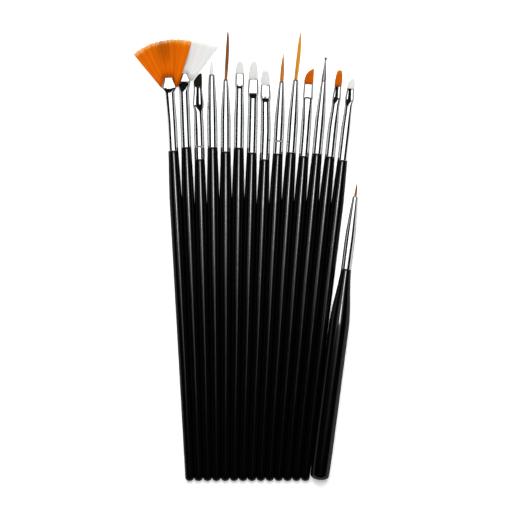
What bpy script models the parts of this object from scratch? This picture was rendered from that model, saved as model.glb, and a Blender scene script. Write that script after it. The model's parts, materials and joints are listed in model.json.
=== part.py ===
"""A set of fifteen nail art brushes, laid out on a table as a fan.

Fourteen slim brushes lie side by side, handle against handle, and a stout detail brush lies at
their right. Each brush is a turned wooden handle with a tenon, a plated ferrule over the tenon,
a knot (the butt of the hair, set in epoxy inside the ferrule) and a free tuft of hair. The
dotting tool has a ball-ended steel stylus where the others have hair.

Blender 4.5, metres, +Z up. +Y runs from the handles' tails to the tufts, +X to the right of the
fan. The origin is under the middle of the set, on the table.
Each brush is modelled in its own frame: +Z along the brush from its tail, +X to its right, and
+Y down, towards the table. Lengths in the tables below are millimetres.
"""

import math

import bmesh
import bpy
import numpy as np
from mathutils import Matrix, Vector

MM = 0.001
SIDES = 16  # of handles and ferrules
TUFT_SIDES = 12
FAN_RIBS = 9  # strips across a fan tuft

# The layout of the slim brushes.
TAIL_PITCH = 3.705  # from one tail to the next
FIRST_LEAN = math.radians(-2.86)  # the first brush leans left
LEAN_STEP = math.radians(0.7346)  # each brush leans this much further right than the last
SIDE_GAP = 0.14  # between neighbouring handles

# The slim handle. Neighbours touch along their taper, so the taper is half the fan's step.
TAIL_DOME = 1.7  # length of the rounded tail
BELLY_AT = 104.0
SHOULDER = 2.1  # radius where the handle meets the ferrule
SWELL = ((-26.0, 0.99), (-18.0, 0.95), (-10.0, 0.89))  # (from the ferrule, share of the belly)

# The stout handle: (distance from the tail, radius), from the end of its dome to its ferrule.
STOUT_DOME = 2.4
STOUT_SWELL = (
    (2.4, 3.9), (10.0, 4.05), (40.0, 4.15), (65.0, 4.2), (71.5, 3.82), (76.5, 3.25), (82.0, 2.6)
)
STOUT_SIDE = 5.95  # from the last slim tail to the stout one
STOUT_AHEAD = 0.6  # its tail lies this far ahead of the others
STOUT_LEAN = math.radians(7.3)

# The ferrule and what it holds.
WALL = 0.25
TUBE = 2.15  # outer radius at the handle
STRAIGHT = 12.0  # length of the tube before it tapers
TENON = 1.72  # radius
TENON_LENGTH = 10.0
BUTT_GAP = 0.15  # from the ferrule to the handle's shoulder
FIT = 0.16  # between the ferrule's inner wall and the knot
KNOT_LENGTH = 9.0
KNOT_SINK = 0.25  # how far the knot's face lies inside the mouth
TUFT_GAP = 0.3  # from the mouth to the free hair
ROOT_LENGTH = 11.0  # how far the stylus's root reaches down from the mouth
SOCKET_SINK = 6.5  # how far the sleeve that holds it starts below the mouth
PIVOT_AHEAD = 0.6  # the tuft bends about a line this far past the mouth
PRESSED = {"flat": 0.78, "fan": 0.6}  # half the thickness of a pressed ferrule
RAMP = 2.2  # length over which a round tube turns into a pressed one
GROOVE = (5.3, 0.12, 0.35)  # a crimped groove: height above the collar, depth, half its width

# The slim brushes, from left to right. Every brush: collar and mouth are the ferrule's two ends and
# tip is the tuft's, all from the tail; hair names the tuft's material; sway is how far the
# ferrule's mouth lies to the right of the handle's axis; roll is how far, in degrees, the
# ferrule and its tuft are turned about the axis, right side down; groove is whether the ferrule
# has one.
# round: mouth_width, and the tuft's width and bow (how far its tip lies to the right).
# flat: crimp is where the tube has become flat, press its width there, and neck the tube's
#   radius below it; slant is the power of the curve that cuts the tuft's left side away (0 for
#   an oval tuft), and blunt the share of the width that is left at the tip.
# fan: as flat, then the sector that the hair fills, about an apex drop below the crimp and side
#   to its right, and how much it rises per unit of length.
BRUSHES = (
    dict(name="fan_amber", kind="fan", collar=138.4, mouth=169.4, mouth_width=4.1, neck=2.2,
         crimp=165.0, press=5.5, hair="nylon_amber", drop=5.8, side=0.9, radius=26.4, left=37.2,
         right=21.4, lift=0.13, roll=-13.0),
    dict(name="fan_white", kind="fan", collar=139.8, mouth=171.0, mouth_width=3.1, neck=2.1,
         crimp=167.6, press=4.9, hair="nylon_white", drop=3.9, side=0.0, radius=21.6, left=36.0,
         right=41.0, lift=0.0, roll=-10.0),
    dict(name="angled_dark", kind="flat", collar=134.7, mouth=165.3, mouth_width=3.6, neck=1.95,
         crimp=157.8, press=4.6, hair="sable_dark", tip=171.0, width=3.4, slant=2.4, blunt=0.1,
         roll=22.0, groove=True),
    dict(name="detail_white", kind="round", collar=139.7, mouth=170.4, mouth_width=2.6,
         hair="nylon_white", tip=176.2, width=1.25, bow=0.0),
    dict(name="striper_brown", kind="round", collar=137.9, mouth=168.3, mouth_width=2.0,
         hair="sable_brown", tip=189.3, width=1.3, bow=0.9),
    dict(name="oval_white_small", kind="flat", collar=139.5, mouth=170.8, mouth_width=3.8,
         neck=1.7, crimp=165.4, press=4.0, hair="nylon_white", tip=176.2, width=3.35, slant=0.0,
         blunt=0.35),
    dict(name="oval_white_large", kind="flat", collar=137.5, mouth=168.4, mouth_width=4.3,
         neck=2.05, crimp=162.4, press=4.5, hair="nylon_white", tip=176.3, width=3.8, slant=0.0,
         blunt=0.3, sway=-0.15),
    dict(name="oval_white_medium", kind="flat", collar=134.7, mouth=166.0, mouth_width=4.1,
         neck=2.05, crimp=160.6, press=4.4, hair="nylon_white", tip=172.8, width=3.7, slant=0.0,
         blunt=0.45, sway=-0.85),
    dict(name="liner_amber", kind="round", collar=137.2, mouth=167.7, mouth_width=2.0,
         hair="nylon_amber", tip=179.5, width=1.5, bow=0.15, groove=True),
    dict(name="striper_amber", kind="round", collar=137.8, mouth=168.5, mouth_width=2.4,
         hair="nylon_gold", tip=188.9, width=1.15, bow=0.75),
    dict(name="dagger_amber", kind="flat", collar=136.4, mouth=166.9, mouth_width=4.0, neck=1.9,
         crimp=160.8, press=4.2, hair="nylon_amber", tip=173.7, width=3.8, slant=3.6, blunt=0.05,
         sway=-0.35),
    dict(name="dotting_tool", kind="ball", collar=137.6, mouth=168.6, mouth_width=2.0,
         hair="steel", tip=178.4, width=1.9, ball=1.25),
    dict(name="oval_amber", kind="flat", collar=136.5, mouth=166.4, mouth_width=3.1, neck=1.75,
         crimp=161.6, press=3.6, hair="nylon_amber", tip=173.2, width=3.1, slant=0.0, blunt=0.5,
         sway=0.35, roll=-22.0),
    dict(name="angled_white", kind="flat", collar=135.2, mouth=165.6, mouth_width=3.1, neck=1.7,
         crimp=160.9, press=3.6, hair="nylon_white", tip=170.0, width=2.8, slant=3.0, blunt=0.25,
         sway=0.2, roll=-22.0),
)
STOUT = dict(name="detail_brown", kind="round", collar=88.8, mouth=119.7, mouth_width=2.2,
             hair="sable_brown", tip=125.4, width=1.1, bow=0.0)

# Blender's principled settings for each material: base colour, roughness, metallic.
MATERIALS = {
    "black_lacquer": ((0.006, 0.006, 0.007), 0.22, 0.0),
    "nickel_plate": ((0.80, 0.81, 0.82), 0.10, 1.0),
    "steel": ((0.42, 0.42, 0.43), 0.22, 1.0),
    "epoxy": ((0.55, 0.42, 0.20), 0.35, 0.0),
    "nylon_amber": ((0.85, 0.25, 0.01), 0.45, 0.0),
    "nylon_gold": ((0.72, 0.33, 0.04), 0.45, 0.0),
    "nylon_white": ((0.85, 0.85, 0.83), 0.50, 0.0),
    "sable_brown": ((0.20, 0.07, 0.02), 0.50, 0.0),
    "sable_dark": ((0.030, 0.022, 0.014), 0.50, 0.0),
}


def clear_scene():
    for obj in list(bpy.data.objects):
        bpy.data.objects.remove(obj)


def make_materials():
    made = {}
    for name, (colour, roughness, metallic) in MATERIALS.items():
        material = bpy.data.materials.new(name)
        material.use_nodes = True
        shader = material.node_tree.nodes["Principled BSDF"]
        shader.inputs["Base Color"].default_value = (*colour, 1.0)
        shader.inputs["Roughness"].default_value = roughness
        shader.inputs["Metallic"].default_value = metallic
        made[name] = material
    return made


def add_object(name, mesh, material, frame, at=0.0, turn=0.0):
    """One sub-part in its brush's frame: its origin lies `at` along the axis, turned about it."""
    obj = bpy.data.objects.new(name, mesh)
    mesh.materials.append(material)
    obj.parent = frame
    obj.location = (0.0, 0.0, at * MM)
    obj.rotation_euler = (0.0, 0.0, turn)
    SET.objects.link(obj)
    mesh.shade_smooth()
    mesh.set_sharp_from_angle(angle=math.radians(35.0))
    return obj


def mesh_of(name, work):
    bmesh.ops.recalc_face_normals(work, faces=work.faces)
    mesh = bpy.data.meshes.new(name)
    work.to_mesh(mesh)
    work.free()
    return mesh


def turned(name, outline, material, frame, at=0.0, turn=0.0):
    """A solid of revolution. The outline is (radius, height) from its top to its bottom."""
    mesh = bpy.data.meshes.new(name)
    points = [(radius * MM, 0.0, height * MM) for radius, height in outline]
    mesh.from_pydata(points, [(i, i + 1) for i in range(len(points) - 1)], [])
    obj = add_object(name, mesh, material, frame, at, turn)
    screw = obj.modifiers.new("Turn", "SCREW")
    screw.steps = screw.render_steps = SIDES
    screw.use_merge_vertices = True
    screw.merge_threshold = 0.00001
    screw.use_smooth_shade = True
    return obj


def loft(name, rings, capped=True):
    """A skin over rings of points. Each ring has the same number of points, in the same order."""
    work = bmesh.new()
    loops = [[work.verts.new(point) for point in ring] for ring in rings]
    count = len(loops[0])
    for lower, upper in zip(loops, loops[1:]):
        for k in range(count):
            j = (k + 1) % count
            work.faces.new((lower[k], lower[j], upper[j], upper[k]))
    if capped:
        work.faces.new(reversed(loops[0]))
        work.faces.new(loops[-1])
    return mesh_of(name, work)


def ring(height, half_width, half_depth, limit, centre=0.0, sides=SIDES):
    """An ellipse across the brush, pressed flat where it is deeper than limit."""
    points = []
    for k in range(sides):
        angle = (k + 0.5) * 2.0 * math.pi / sides
        depth = max(-limit, min(limit, half_depth * math.sin(angle)))
        points.append(Vector((centre + half_width * math.cos(angle), depth, height)) * MM)
    return points


# ---------------------------------------------------------------- handles


def taper_radius(along):
    """Half the distance between neighbouring axes at this distance from the tails, less the gap."""
    return (TAIL_PITCH + along * math.tan(LEAN_STEP) - SIDE_GAP) / 2.0


def dome(length, radius):
    """(radius, height) down the rounded tail, from its widest to its end on the axis."""
    turns = [math.radians(degrees) for degrees in (0.0, 30.0, 60.0)]
    outline = [(radius * math.cos(turn), length * (1.0 - math.sin(turn))) for turn in turns]
    return outline + [(0.0, 0.0)]


def tenon_outline(collar, shoulder):
    top = collar + TENON_LENGTH
    return [(0.0, top), (TENON, top), (TENON, collar), (shoulder, collar)]


def handle_outline(brush):
    collar = brush["collar"]
    belly = taper_radius(BELLY_AT)
    outline = tenon_outline(collar, SHOULDER)
    outline += [(belly * share, collar + back) for back, share in reversed(SWELL) if belly * share > SHOULDER]
    outline += [(belly, BELLY_AT)]
    return outline + dome(TAIL_DOME, taper_radius(TAIL_DOME))


def stout_outline(brush):
    swell = sorted(STOUT_SWELL, reverse=True)
    outline = tenon_outline(brush["collar"], SHOULDER - 0.05)
    outline += [(radius, height) for height, radius in swell[:-1]]
    return outline + dome(STOUT_DOME, swell[-1][1])


def resting(lower, upper):
    """Height of the axis at the tail and its slope, with the facet between two rings on the table.
    lower and upper are (radius, height along the brush)."""
    flat = math.cos(math.pi / SIDES)  # a facet lies nearer the axis than its corners
    slope = math.atan((upper[0] - lower[0]) * flat / (upper[1] - lower[1]))
    height = lower[0] * flat * math.cos(slope) - lower[1] * math.sin(slope)
    return height, slope


# ---------------------------------------------------------------- ferrules, knots and tufts


def sideways(brush, height):
    """How far the middle of the ferrule, or of its tuft, lies to the right at a height."""
    straight = brush["collar"] + STRAIGHT
    share = (height - straight) / (brush["mouth"] - straight)
    return brush.get("sway", 0.0) * max(0.0, share)


def ferrule_sections(brush):
    """(height, half width, half depth, limit) up the ferrule's outside."""
    collar, mouth = brush["collar"] + BUTT_GAP, brush["mouth"]
    straight = brush["collar"] + STRAIGHT
    half_mouth = brush["mouth_width"] / 2.0
    sections = [(collar, TUBE, TUBE, TUBE)]
    if brush.get("groove"):
        middle, depth, half = GROOVE
        middle, waist = middle + brush["collar"], TUBE - depth
        sections.append((middle - half, TUBE, TUBE, TUBE))
        sections.append((middle, waist, waist, waist))
        sections.append((middle + half, TUBE, TUBE, TUBE))
    sections.append((straight, TUBE, TUBE, TUBE))
    if brush["kind"] in ("round", "ball"):
        middle = (straight + mouth) / 2.0
        bulge = TUBE * 0.60 + half_mouth * 0.40
        sections.append((middle, bulge, bulge, bulge))
        sections.append((mouth, half_mouth, half_mouth, half_mouth))
        return sections
    neck, crimp, half_press = brush["neck"], brush["crimp"], brush["press"] / 2.0
    foot, pressed = crimp - RAMP, PRESSED[brush["kind"]]
    sections.append((foot, neck, neck, neck))
    sections.append(((foot + crimp) / 2.0, (neck + half_press) / 2.0, neck, (neck + pressed) / 2.0))
    sections.append((crimp, half_press, neck, pressed))
    sections.append((mouth, half_mouth, neck, pressed * 0.9))
    return sections


def between(sections, height):
    """The section at a height, read off the straight lines between the given ones."""
    heights = [section[0] for section in sections]
    return [height] + [float(np.interp(height, heights, [s[i] for s in sections])) for i in (1, 2, 3)]


def add_ferrule(brush, frame, roll):
    rings = [ring(*section, sideways(brush, section[0])) for section in ferrule_sections(brush)]
    mesh = loft(brush["name"] + "_ferrule", rings, capped=False)
    obj = add_object(brush["name"] + "_ferrule", mesh, PAINT["nickel_plate"], frame, turn=roll)
    shell = obj.modifiers.new("Wall", "SOLIDIFY")
    shell.thickness = WALL * MM
    shell.offset = -1.0
    shell.use_even_offset = True


def add_knot(brush, frame, roll):
    """The hair's butt and its epoxy, which fill the ferrule from just inside its mouth."""
    sections = ferrule_sections(brush)
    top = brush["mouth"] - KNOT_SINK
    bottom = top - KNOT_LENGTH
    heights = [bottom] + [s[0] for s in sections if bottom < s[0] < top] + [top]
    inset = WALL + FIT
    rings = []
    for height in heights:
        _, width, depth, limit = between(sections, height)
        middle = sideways(brush, height)
        rings.append(ring(height, width - inset, depth - inset, limit - inset, middle))
    mesh = loft(brush["name"] + "_knot", rings)
    add_object(brush["name"] + "_knot", mesh, PAINT["epoxy"], frame, turn=roll)


def flat_tuft_rings(brush, pivot):
    """An oval or slanted tuft: full at the mouth, thin at its edge."""
    half = brush["width"] / 2.0
    length = brush["tip"] - brush["mouth"]
    slant, blunt = brush["slant"], brush["blunt"]
    rings = []
    for share in (0.0, 0.12, 0.45, 0.7, 0.87, 1.0):
        right = half * (1.0 - 0.25 * share)
        if slant:
            left = -half + (right + half - 2.0 * half * blunt) * share**slant
        else:
            right = half * (blunt + (1.0 - blunt) * math.sqrt(1.0 - share**2.4))
            left = -right
        at_base = 0.8 if share == 0.0 else 1.0
        depth = (0.42 - 0.27 * share) * at_base
        height = brush["mouth"] + TUFT_GAP + (length - TUFT_GAP) * share
        middle = (right + left) / 2.0 + sideways(brush, height)
        width = (right - left) / 2.0 * at_base
        rings.append(ring(height - pivot, width, depth, depth, middle, TUFT_SIDES))
    return rings


def round_tuft_rings(brush, pivot):
    """A pointed tuft, a little fuller past its base, that may bow to the right."""
    length = brush["tip"] - brush["mouth"]
    rings = []
    for share, fullness in ((0.0, 0.8), (0.1, 1.0), (0.4, 1.0), (0.7, 0.72), (0.88, 0.4), (1.0, 0.1)):
        radius = brush["width"] / 2.0 * fullness
        height = brush["mouth"] + TUFT_GAP + (length - TUFT_GAP) * share - pivot
        centre = brush["bow"] * math.sin(share * math.pi / 2.0)
        rings.append(ring(height, radius, radius, radius, centre, TUFT_SIDES))
    return rings


def fan_tuft(brush, pivot):
    """A sheet of hair in a sector, notched round the ferrule's tapering end, and given a thickness."""
    apex = brush["crimp"] - brush["drop"]
    top = brush["mouth"] + TUFT_GAP - apex
    base = brush["crimp"] + TUFT_GAP - apex
    half_top = brush["mouth_width"] / 2.0 + TUFT_GAP
    half_base = brush["press"] / 2.0 + TUFT_GAP
    work = bmesh.new()
    ribs = []
    for i in range(FAN_RIBS + 1):
        angle = math.radians(-brush["left"] + (brush["left"] + brush["right"]) * i / FAN_RIBS)
        across = math.sin(angle)
        along = math.cos(angle)
        # The ferrule's end is a trapezium: leave it by its top edge or by its slanting side.
        edge = half_top if angle > 0.0 else -half_top
        slope = (half_top - half_base) / (top - base) * (1.0 if angle > 0.0 else -1.0)
        by_top = top / along
        run = across - slope * along
        by_side = (edge - slope * top - brush["side"]) / run if abs(run) > 1e-6 else 0.0
        start = min(by_top, by_side) if abs(brush["side"] + by_top * across) > half_top else by_top
        start = max(start, base / along)
        rib = []
        for reach in (start, (start + brush["radius"]) / 2.0, brush["radius"]):
            rise = brush["lift"] * (reach * along - base)
            point = (brush["side"] + across * reach, -rise, apex - pivot + along * reach)
            rib.append(work.verts.new(Vector(point) * MM))
        ribs.append(rib)
    for near, far in zip(ribs, ribs[1:]):
        for k in range(2):
            work.faces.new((near[k], far[k], far[k + 1], near[k + 1]))
    return mesh_of(brush["name"] + "_tuft", work)


def add_tuft(brush, frame, roll):
    """The free hair, with its origin on the line that it bends about."""
    name = brush["name"] + "_tuft"
    pivot = brush["mouth"] + PIVOT_AHEAD
    if brush["kind"] == "fan":
        pivot = brush["crimp"]
        obj = add_object(name, fan_tuft(brush, pivot), PAINT[brush["hair"]], frame, pivot, roll)
        shell = obj.modifiers.new("Thickness", "SOLIDIFY")
        shell.thickness = 0.5 * MM
        shell.offset = 0.0
        return
    rings = flat_tuft_rings(brush, pivot) if brush["kind"] == "flat" else round_tuft_rings(brush, pivot)
    add_object(name, loft(name, rings), PAINT[brush["hair"]], frame, pivot, roll)


def add_stylus(brush, frame):
    """The dotting tool's steel rod: a root in the ferrule, a long taper, and a ball at its end."""
    mouth, tip = brush["mouth"], brush["tip"]
    ball = brush["ball"] / 2.0
    root = brush["width"] / 2.0 * 0.75
    neck = 0.30
    outline = [(0.0, tip)]
    for turn in [math.radians(degrees) for degrees in (60.0, 30.0, 0.0, -30.0)]:
        outline.append((ball * math.cos(turn), tip - ball + ball * math.sin(turn)))
    outline += [(neck, tip - 2.1 * ball), (neck * 1.1, tip - 3.0), (root, mouth + 1.5)]
    outline += [(root, mouth - ROOT_LENGTH), (0.0, mouth - ROOT_LENGTH)]
    turned(brush["name"] + "_stylus", outline, PAINT["steel"], frame)


def add_socket(brush, frame):
    """The epoxy sleeve that holds the stylus in its ferrule."""
    mouth = brush["mouth"]
    sections = ferrule_sections(brush)
    inset = WALL + FIT
    bore = brush["width"] / 2.0 * 0.75 + 0.12
    top, bottom = mouth - SOCKET_SINK, mouth - ROOT_LENGTH
    wide = between(sections, bottom)[1] - inset
    narrow = between(sections, top)[1] - inset
    outline = [(bore, bottom), (bore, top), (narrow, top), (wide, bottom), (bore, bottom)]
    turned(brush["name"] + "_socket", outline, PAINT["epoxy"], frame, turn=math.pi / SIDES)


def add_brush(brush, tail, lean, outline, lower, upper):
    """One brush, lying on the table on the facet of its handle between two rings of its outline."""
    height, slope = resting(lower, upper)
    frame = bpy.data.objects.new(brush["name"], None)
    SET.objects.link(frame)
    along_y = Matrix.Rotation(-math.pi / 2.0, 4, "X")
    frame.matrix_world = (
        Matrix.Translation(Vector((*tail, height)) * MM)
        @ Matrix.Rotation(-lean, 4, "Z")
        @ Matrix.Rotation(slope, 4, "X")
        @ along_y
    )
    frame.parent = TABLE
    roll = math.radians(brush.get("roll", 0.0))
    turned(brush["name"] + "_handle", outline, PAINT["black_lacquer"], frame, turn=math.pi / SIDES)
    add_ferrule(brush, frame, roll)
    if brush["kind"] == "ball":
        add_stylus(brush, frame)
        add_socket(brush, frame)
    else:
        add_knot(brush, frame, roll)
        add_tuft(brush, frame, roll)


def centre_on_table():
    """Moves the set so that the origin is under the middle of its box."""
    bpy.context.view_layer.update()
    graph = bpy.context.evaluated_depsgraph_get()
    corners = []
    for obj in SET.objects:
        if obj.type == "MESH":
            evaluated = obj.evaluated_get(graph)
            corners += [evaluated.matrix_world @ vertex.co for vertex in evaluated.to_mesh().vertices]
            evaluated.to_mesh_clear()
    points = np.array(corners)
    low, high = points.min(axis=0), points.max(axis=0)
    TABLE.location = (-(low[0] + high[0]) / 2.0, -(low[1] + high[1]) / 2.0, -low[2])
    bpy.context.view_layer.update()


clear_scene()
SET = bpy.data.collections.new("nail_art_brush_set")
bpy.context.scene.collection.children.link(SET)
PAINT = make_materials()
TABLE = bpy.data.objects.new("table_origin", None)
SET.objects.link(TABLE)

for index, slim in enumerate(BRUSHES):
    add_brush(
        slim,
        (index * TAIL_PITCH, 0.0),
        FIRST_LEAN + index * LEAN_STEP,
        handle_outline(slim),
        (taper_radius(TAIL_DOME), TAIL_DOME),
        (taper_radius(BELLY_AT), BELLY_AT),
    )
add_brush(
    STOUT,
    ((len(BRUSHES) - 1) * TAIL_PITCH + STOUT_SIDE, STOUT_AHEAD),
    STOUT_LEAN,
    stout_outline(STOUT),
    (STOUT_SWELL[2][1], STOUT_SWELL[2][0]),
    (STOUT_SWELL[3][1], STOUT_SWELL[3][0]),
)
centre_on_table()
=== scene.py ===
"""Looks for a set of fifteen nail art brushes, laid out on a pale table and seen from above.

Every brush is rebuilt finely around its CAD nodes: a lacquered handle, a polished ferrule and a
tuft of separate hairs. Each brush has its own frame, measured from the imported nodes: `right`,
`down` (towards the table) and `along` (from its tail to its tuft). Sizes below are millimetres
unless a name says otherwise, and heights are measured along a brush from the end of its tail.
"""

import json
import math

import bpy
import numpy as np
from mathutils import Matrix, Vector

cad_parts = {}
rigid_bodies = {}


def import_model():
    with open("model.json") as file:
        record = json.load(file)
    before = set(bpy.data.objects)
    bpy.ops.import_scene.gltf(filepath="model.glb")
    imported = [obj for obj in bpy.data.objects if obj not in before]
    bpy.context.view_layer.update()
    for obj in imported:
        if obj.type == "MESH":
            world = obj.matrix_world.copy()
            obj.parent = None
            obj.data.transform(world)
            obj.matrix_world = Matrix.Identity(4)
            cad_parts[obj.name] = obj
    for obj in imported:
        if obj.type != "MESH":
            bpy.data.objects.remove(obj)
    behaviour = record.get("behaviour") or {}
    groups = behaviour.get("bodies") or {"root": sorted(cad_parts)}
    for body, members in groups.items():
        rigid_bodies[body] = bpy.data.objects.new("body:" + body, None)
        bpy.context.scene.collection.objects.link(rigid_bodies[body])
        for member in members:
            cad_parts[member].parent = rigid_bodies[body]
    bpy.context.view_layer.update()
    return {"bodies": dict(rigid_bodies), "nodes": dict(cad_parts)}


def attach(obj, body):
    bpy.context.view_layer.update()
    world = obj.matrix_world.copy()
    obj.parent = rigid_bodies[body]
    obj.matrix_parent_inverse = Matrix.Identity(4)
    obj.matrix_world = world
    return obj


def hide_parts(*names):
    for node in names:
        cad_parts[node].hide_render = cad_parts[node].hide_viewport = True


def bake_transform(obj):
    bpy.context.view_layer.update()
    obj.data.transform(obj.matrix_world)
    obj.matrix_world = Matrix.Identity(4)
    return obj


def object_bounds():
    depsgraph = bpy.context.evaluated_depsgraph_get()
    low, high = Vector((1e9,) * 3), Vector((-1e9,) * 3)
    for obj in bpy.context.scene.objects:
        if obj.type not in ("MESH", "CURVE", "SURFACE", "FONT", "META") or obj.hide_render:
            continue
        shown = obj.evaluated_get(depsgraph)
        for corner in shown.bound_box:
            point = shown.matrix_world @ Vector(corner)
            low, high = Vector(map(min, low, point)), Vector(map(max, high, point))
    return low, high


MM = 0.001

# Handles
SIDES = 64  # round the handles and ferrules
DOME = 1.7  # length of a slim handle's rounded tail
DOME_SQUARENESS = 2.3  # an ellipse's would be 2
COAT = 0.0735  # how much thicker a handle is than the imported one, so that neighbours touch
SHOULDER_GAP = 0.12  # from the handle's shoulder to the ferrule's foot
TENON = 1.7  # radius of what little of the tenon is drawn
# A slim handle's radius where it narrows to its ferrule: (height above the ferrule's foot, radius).
NARROWING = ((-40.0, 3.3), (-22.0, 2.68), (-18.0, 2.575), (-10.0, 2.375), (-4.0, 2.2), (0.0, 2.12))

# Ferrules
RIM = 0.08  # rounding of the ferrule's mouth
WALL = 0.25  # of the ferrule
STRAIGHT = 12.0  # length of the ferrule's tube before it tapers
TUBE = 2.15  # the ferrule's outer radius at the handle
GROOVE_AT = 5.3  # height of a crimped groove above the ferrule's foot
GROOVE_DEPTH = 0.14
GROOVE_HALF = 0.34  # half its width
OPEN = 3.0 * TUBE  # pliers so wide open that they leave the tube round
PRESSED = 0.85  # half the thickness of a pressed ferrule
PRESS_EDGE = 14.0  # how sharp the edge is between the pressed flat and the rest of the tube
EDGE = 1.5  # how wide a pressed tube's rounded edge is, against half its depth
DIP_WIDTH = 0.45  # half the width of the dip along a pressed tube
ARCH_REACH = 1.3  # how far from the press's lower end the tube follows its arch
KNOT_DEPTH = 9.0  # how far the hairs' butts reach into the ferrule
STYLUS_DEPTH = 4.0  # how far the stylus reaches into it

# Hair
HAIR_SIDES = 5
HAIR_STEPS = 7  # along a hair of a flat tuft or a fan
ROUND_STEPS = 10  # along a hair of a round tuft
FLAT_HAIRS = 330
ROUND_HAIRS = 110
FAN_HAIRS = 1500
FAN_WISPS = 44
FLAT_DEPTH = 0.44  # half the thickness of a flat tuft at its root
FLAT_ROOT = 0.22  # how far below the ferrule's mouth the visible hairs of a flat tuft start
ROUND_ROOT = 0.3  # and those of a round one
CORE_END = 0.97  # the core's length, against its tuft's
# The thinnest hair's radius, and how much more the thickest has.
FLAT_HAIR = (0.062, 0.012)
ROUND_HAIR = (0.05, 0.015)
FAN_HAIR = (0.055, 0.02)
FAN_LAYER = 0.2  # half the thickness of a fan at its root
FAN_WAVE = 0.14  # how far the fan's end waves up and down
FLAT_SHADE_TINTS = 0.38  # a pressed tuft's hairs keep to this dark part of their material's range, as painted shade of the thick bundle
BEND_SHARE = 0.5  # the part of a tuft's length over which it bends at its joint
FAN_BEND_SHARE = 0.55
FIRST_SEED = 40

# How far the hairs reach across a flat tuft, from its left edge to its right.
OVAL = (
    (-1.0, 0.36), (-0.84, 0.66), (-0.6, 0.9), (-0.3, 0.99),
    (0.3, 0.99), (0.6, 0.9), (0.84, 0.66), (1.0, 0.36),
)
BLUNT = (
    (-1.0, 0.4), (-0.86, 0.72), (-0.66, 0.95), (-0.4, 1.0),
    (0.4, 1.0), (0.66, 0.95), (0.86, 0.72), (1.0, 0.4),
)
ANGLED = ((-1.0, 0.42), (-0.85, 0.5), (0.55, 0.98), (0.8, 1.0), (1.0, 0.9))
DAGGER = ((-1.0, 0.2), (-0.85, 0.42), (-0.5, 0.66), (0.0, 0.82), (0.5, 0.92), (0.85, 1.0), (1.0, 0.97))
SLANT = ((-1.0, 0.32), (-0.8, 0.52), (-0.3, 0.8), (0.2, 0.97), (0.5, 1.0), (0.8, 0.9), (1.0, 0.65))

# How full a round tuft is, from its root to its tip.
TAPER = ((0.0, 0.86), (0.12, 1.0), (0.4, 0.93), (0.7, 0.62), (0.9, 0.28), (1.0, 0.09))
LONG_TAPER = ((0.0, 0.8), (0.2, 0.95), (0.5, 1.0), (0.76, 0.8), (0.92, 0.42), (1.0, 0.1))
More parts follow.
